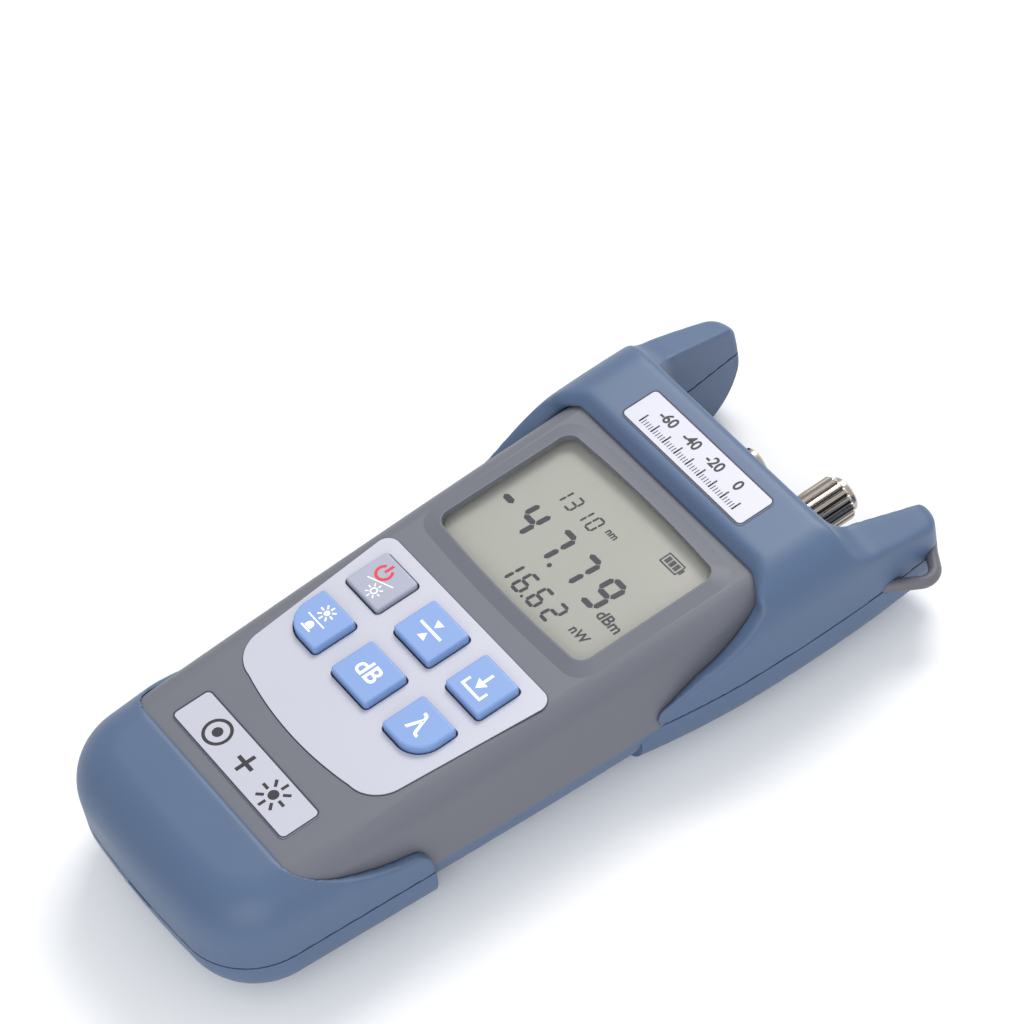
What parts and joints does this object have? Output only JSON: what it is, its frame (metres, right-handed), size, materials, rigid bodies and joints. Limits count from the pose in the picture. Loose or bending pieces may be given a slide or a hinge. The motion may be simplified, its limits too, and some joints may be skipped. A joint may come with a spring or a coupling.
{
  "type": "optical power meter",
  "caption": "Handheld optical power meter: two-tone casing with display, keypad, fibre ports between two guard horns, lanyard loop and battery door.",
  "frame": {"origin": "middle of the flat back, which the meter lies on", "axes": "+Z out of the display face, +Y towards the fibre ports, +X to the reader's right"},
  "size_m": [0.0915, 0.1909, 0.0378],
  "materials": {
    "blue_plastic": "satin moulded",
    "grey_plastic": "fine textured",
    "clear_lens": "clear, flat",
    "display": "grey green liquid crystal",
    "milky_plastic": "milky",
    "white_plastic": "moulded",
    "strip_rubber": "striped",
    "silver_film": "printed film",
    "mat_rubber": "silicone",
    "spring_steel": "plated",
    "board_laminate": "solder resist",
    "black_plastic": "moulded",
    "cell_jacket": "printed jacket",
    "nickel": "nickel plated",
    "brass": "turned",
    "lamp_lens": "clear",
    "loop_plastic": "moulded",
    "screw_steel": "zinc plated",
    "power_key_plastic": "soft sheen",
    "key_plastic": "soft sheen"
  },
  "bodies": {
    "meter": {"rear_shell": "blue_plastic", "front_panel": "grey_plastic", "head_cap": "blue_plastic", "bottom_boot": "blue_plastic", "window_lens": "clear_lens", "display_glass": "display", "light_guide": "milky_plastic", "contact_strip": "strip_rubber", "display_tray": "white_plastic", "keypad_overlay": "silver_film", "key_mat": "mat_rubber", "snap_domes": "spring_steel", "circuit_board": "board_laminate", "processor": "black_plastic", "buzzer": "black_plastic", "battery_1": "cell_jacket", "battery_2": "cell_jacket", "battery_3": "cell_jacket", "battery_springs": "spring_steel", "battery_contacts": "spring_steel", "optical_port": "nickel", "photodiode": "nickel", "finder_port": "nickel", "laser_module": "brass", "torch_lamp": "lamp_lens", "port_nuts": "nickel", "lanyard_loop": "loop_plastic", "case_screws": "screw_steel", "board_screws": "screw_steel", "top_label": "silver_film", "bottom_label": "silver_film"},
    "door": {"battery_door": "blue_plastic"},
    "adapter": {"port_adapter": "nickel"},
    "power_key_body": {"power_key": "power_key_plastic"},
    "reference_key_body": {"reference_key": "key_plastic"},
    "store_key_body": {"store_key": "key_plastic"},
    "light_key_body": {"light_key": "key_plastic"},
    "decibel_key_body": {"decibel_key": "key_plastic"},
    "wavelength_key_body": {"wavelength_key": "key_plastic"}
  },
  "joints": [
    {"name": "door_hinge", "type": "hinge", "parent": "meter", "child": "door", "pos_m": [0, -0.01905, 0.0005], "axis": [1, 0, 0], "range_deg": [0, 80]},
    {"name": "adapter_turn", "type": "hinge", "parent": "meter", "child": "adapter", "pos_m": [0.0151, 0.082, 0.0155], "axis": [0, 1, 0], "continuous": true},
    {"name": "power_key_press", "type": "slide", "parent": "meter", "child": "power_key_body", "axis": [0, 0, -1], "range_m": [0, 0.0006], "stiffness_N_per_m": 500},
    {"name": "reference_key_press", "type": "slide", "parent": "meter", "child": "reference_key_body", "axis": [0, 0, -1], "range_m": [0, 0.0006], "stiffness_N_per_m": 500},
    {"name": "store_key_press", "type": "slide", "parent": "meter", "child": "store_key_body", "axis": [0, 0, -1], "range_m": [0, 0.0006], "stiffness_N_per_m": 500},
    {"name": "light_key_press", "type": "slide", "parent": "meter", "child": "light_key_body", "axis": [0, 0, -1], "range_m": [0, 0.0006], "stiffness_N_per_m": 500},
    {"name": "decibel_key_press", "type": "slide", "parent": "meter", "child": "decibel_key_body", "axis": [0, 0, -1], "range_m": [0, 0.0006], "stiffness_N_per_m": 500},
    {"name": "wavelength_key_press", "type": "slide", "parent": "meter", "child": "wavelength_key_body", "axis": [0, 0, -1], "range_m": [0, 0.0006], "stiffness_N_per_m": 500}
  ]
}
